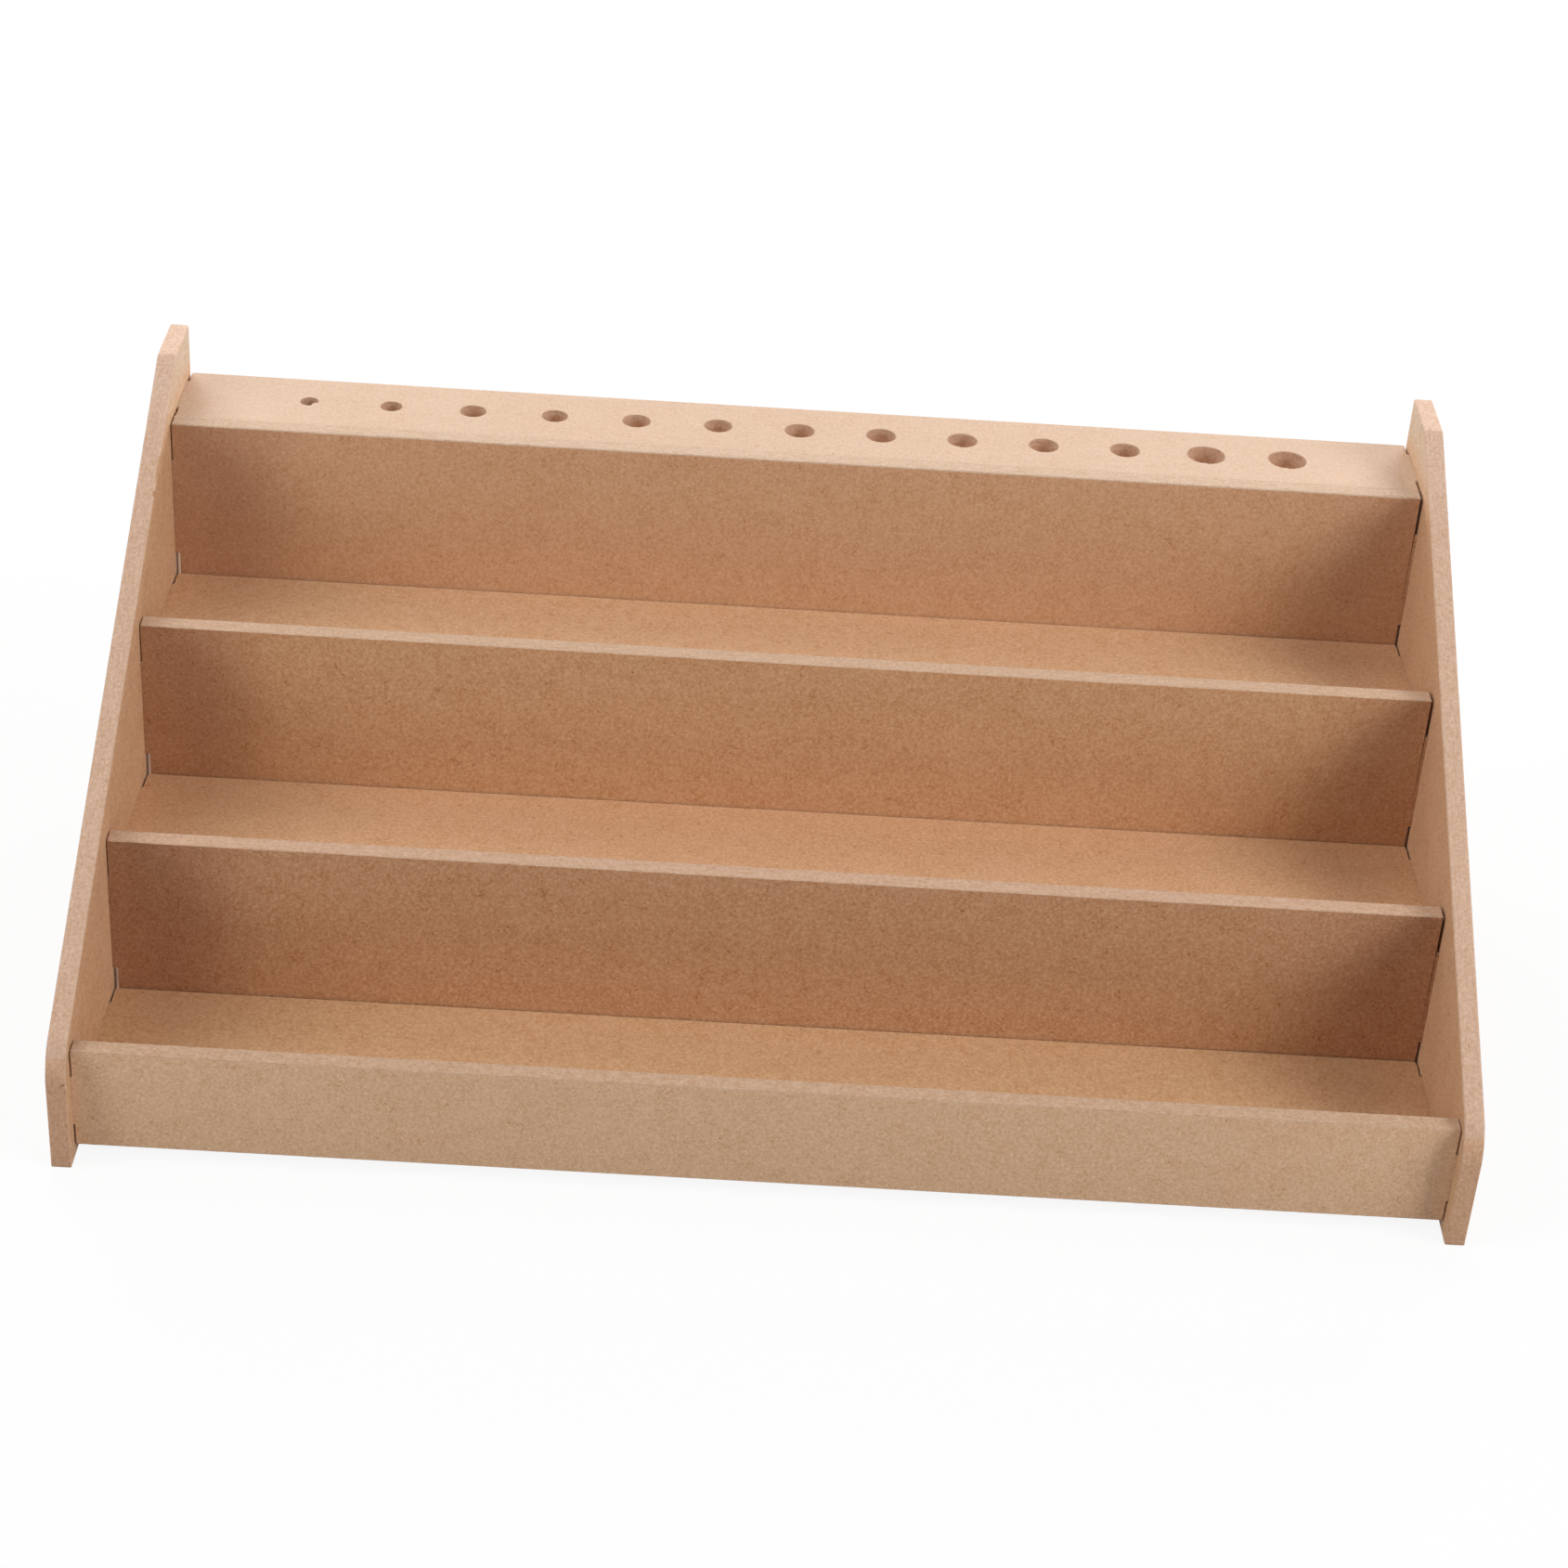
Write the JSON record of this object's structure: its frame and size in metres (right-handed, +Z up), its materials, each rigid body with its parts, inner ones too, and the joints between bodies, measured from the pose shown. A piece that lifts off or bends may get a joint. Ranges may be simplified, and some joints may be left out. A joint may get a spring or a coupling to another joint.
{
  "type": "hobby workstation organizer",
  "caption": "Stepped fibreboard desk rack with tiered shelves between sloped side panels and a rear board of graded round holes for upright tools.",
  "frame": {"origin": "middle of the footprint, on the surface that the organizer stands on", "axes": "+X to the right seen from the front, +Y to the back, +Z up"},
  "size_m": [0.35, 0.2, 0.1365],
  "materials": {
    "side_board": "raw medium density fibreboard",
    "shelf_board": "raw medium density fibreboard",
    "tool_board": "raw medium density fibreboard",
    "upright_board": "raw medium density fibreboard"
  },
  "bodies": {
    "root": {"left_side_panel": "side_board", "right_side_panel": "side_board", "front_lip_board": "upright_board", "lower_shelf": "shelf_board", "middle_shelf": "shelf_board", "upper_shelf": "shelf_board", "lower_riser": "upright_board", "middle_riser": "upright_board", "upper_riser": "upright_board", "tool_board": "tool_board"}
  },
  "joints": []
}
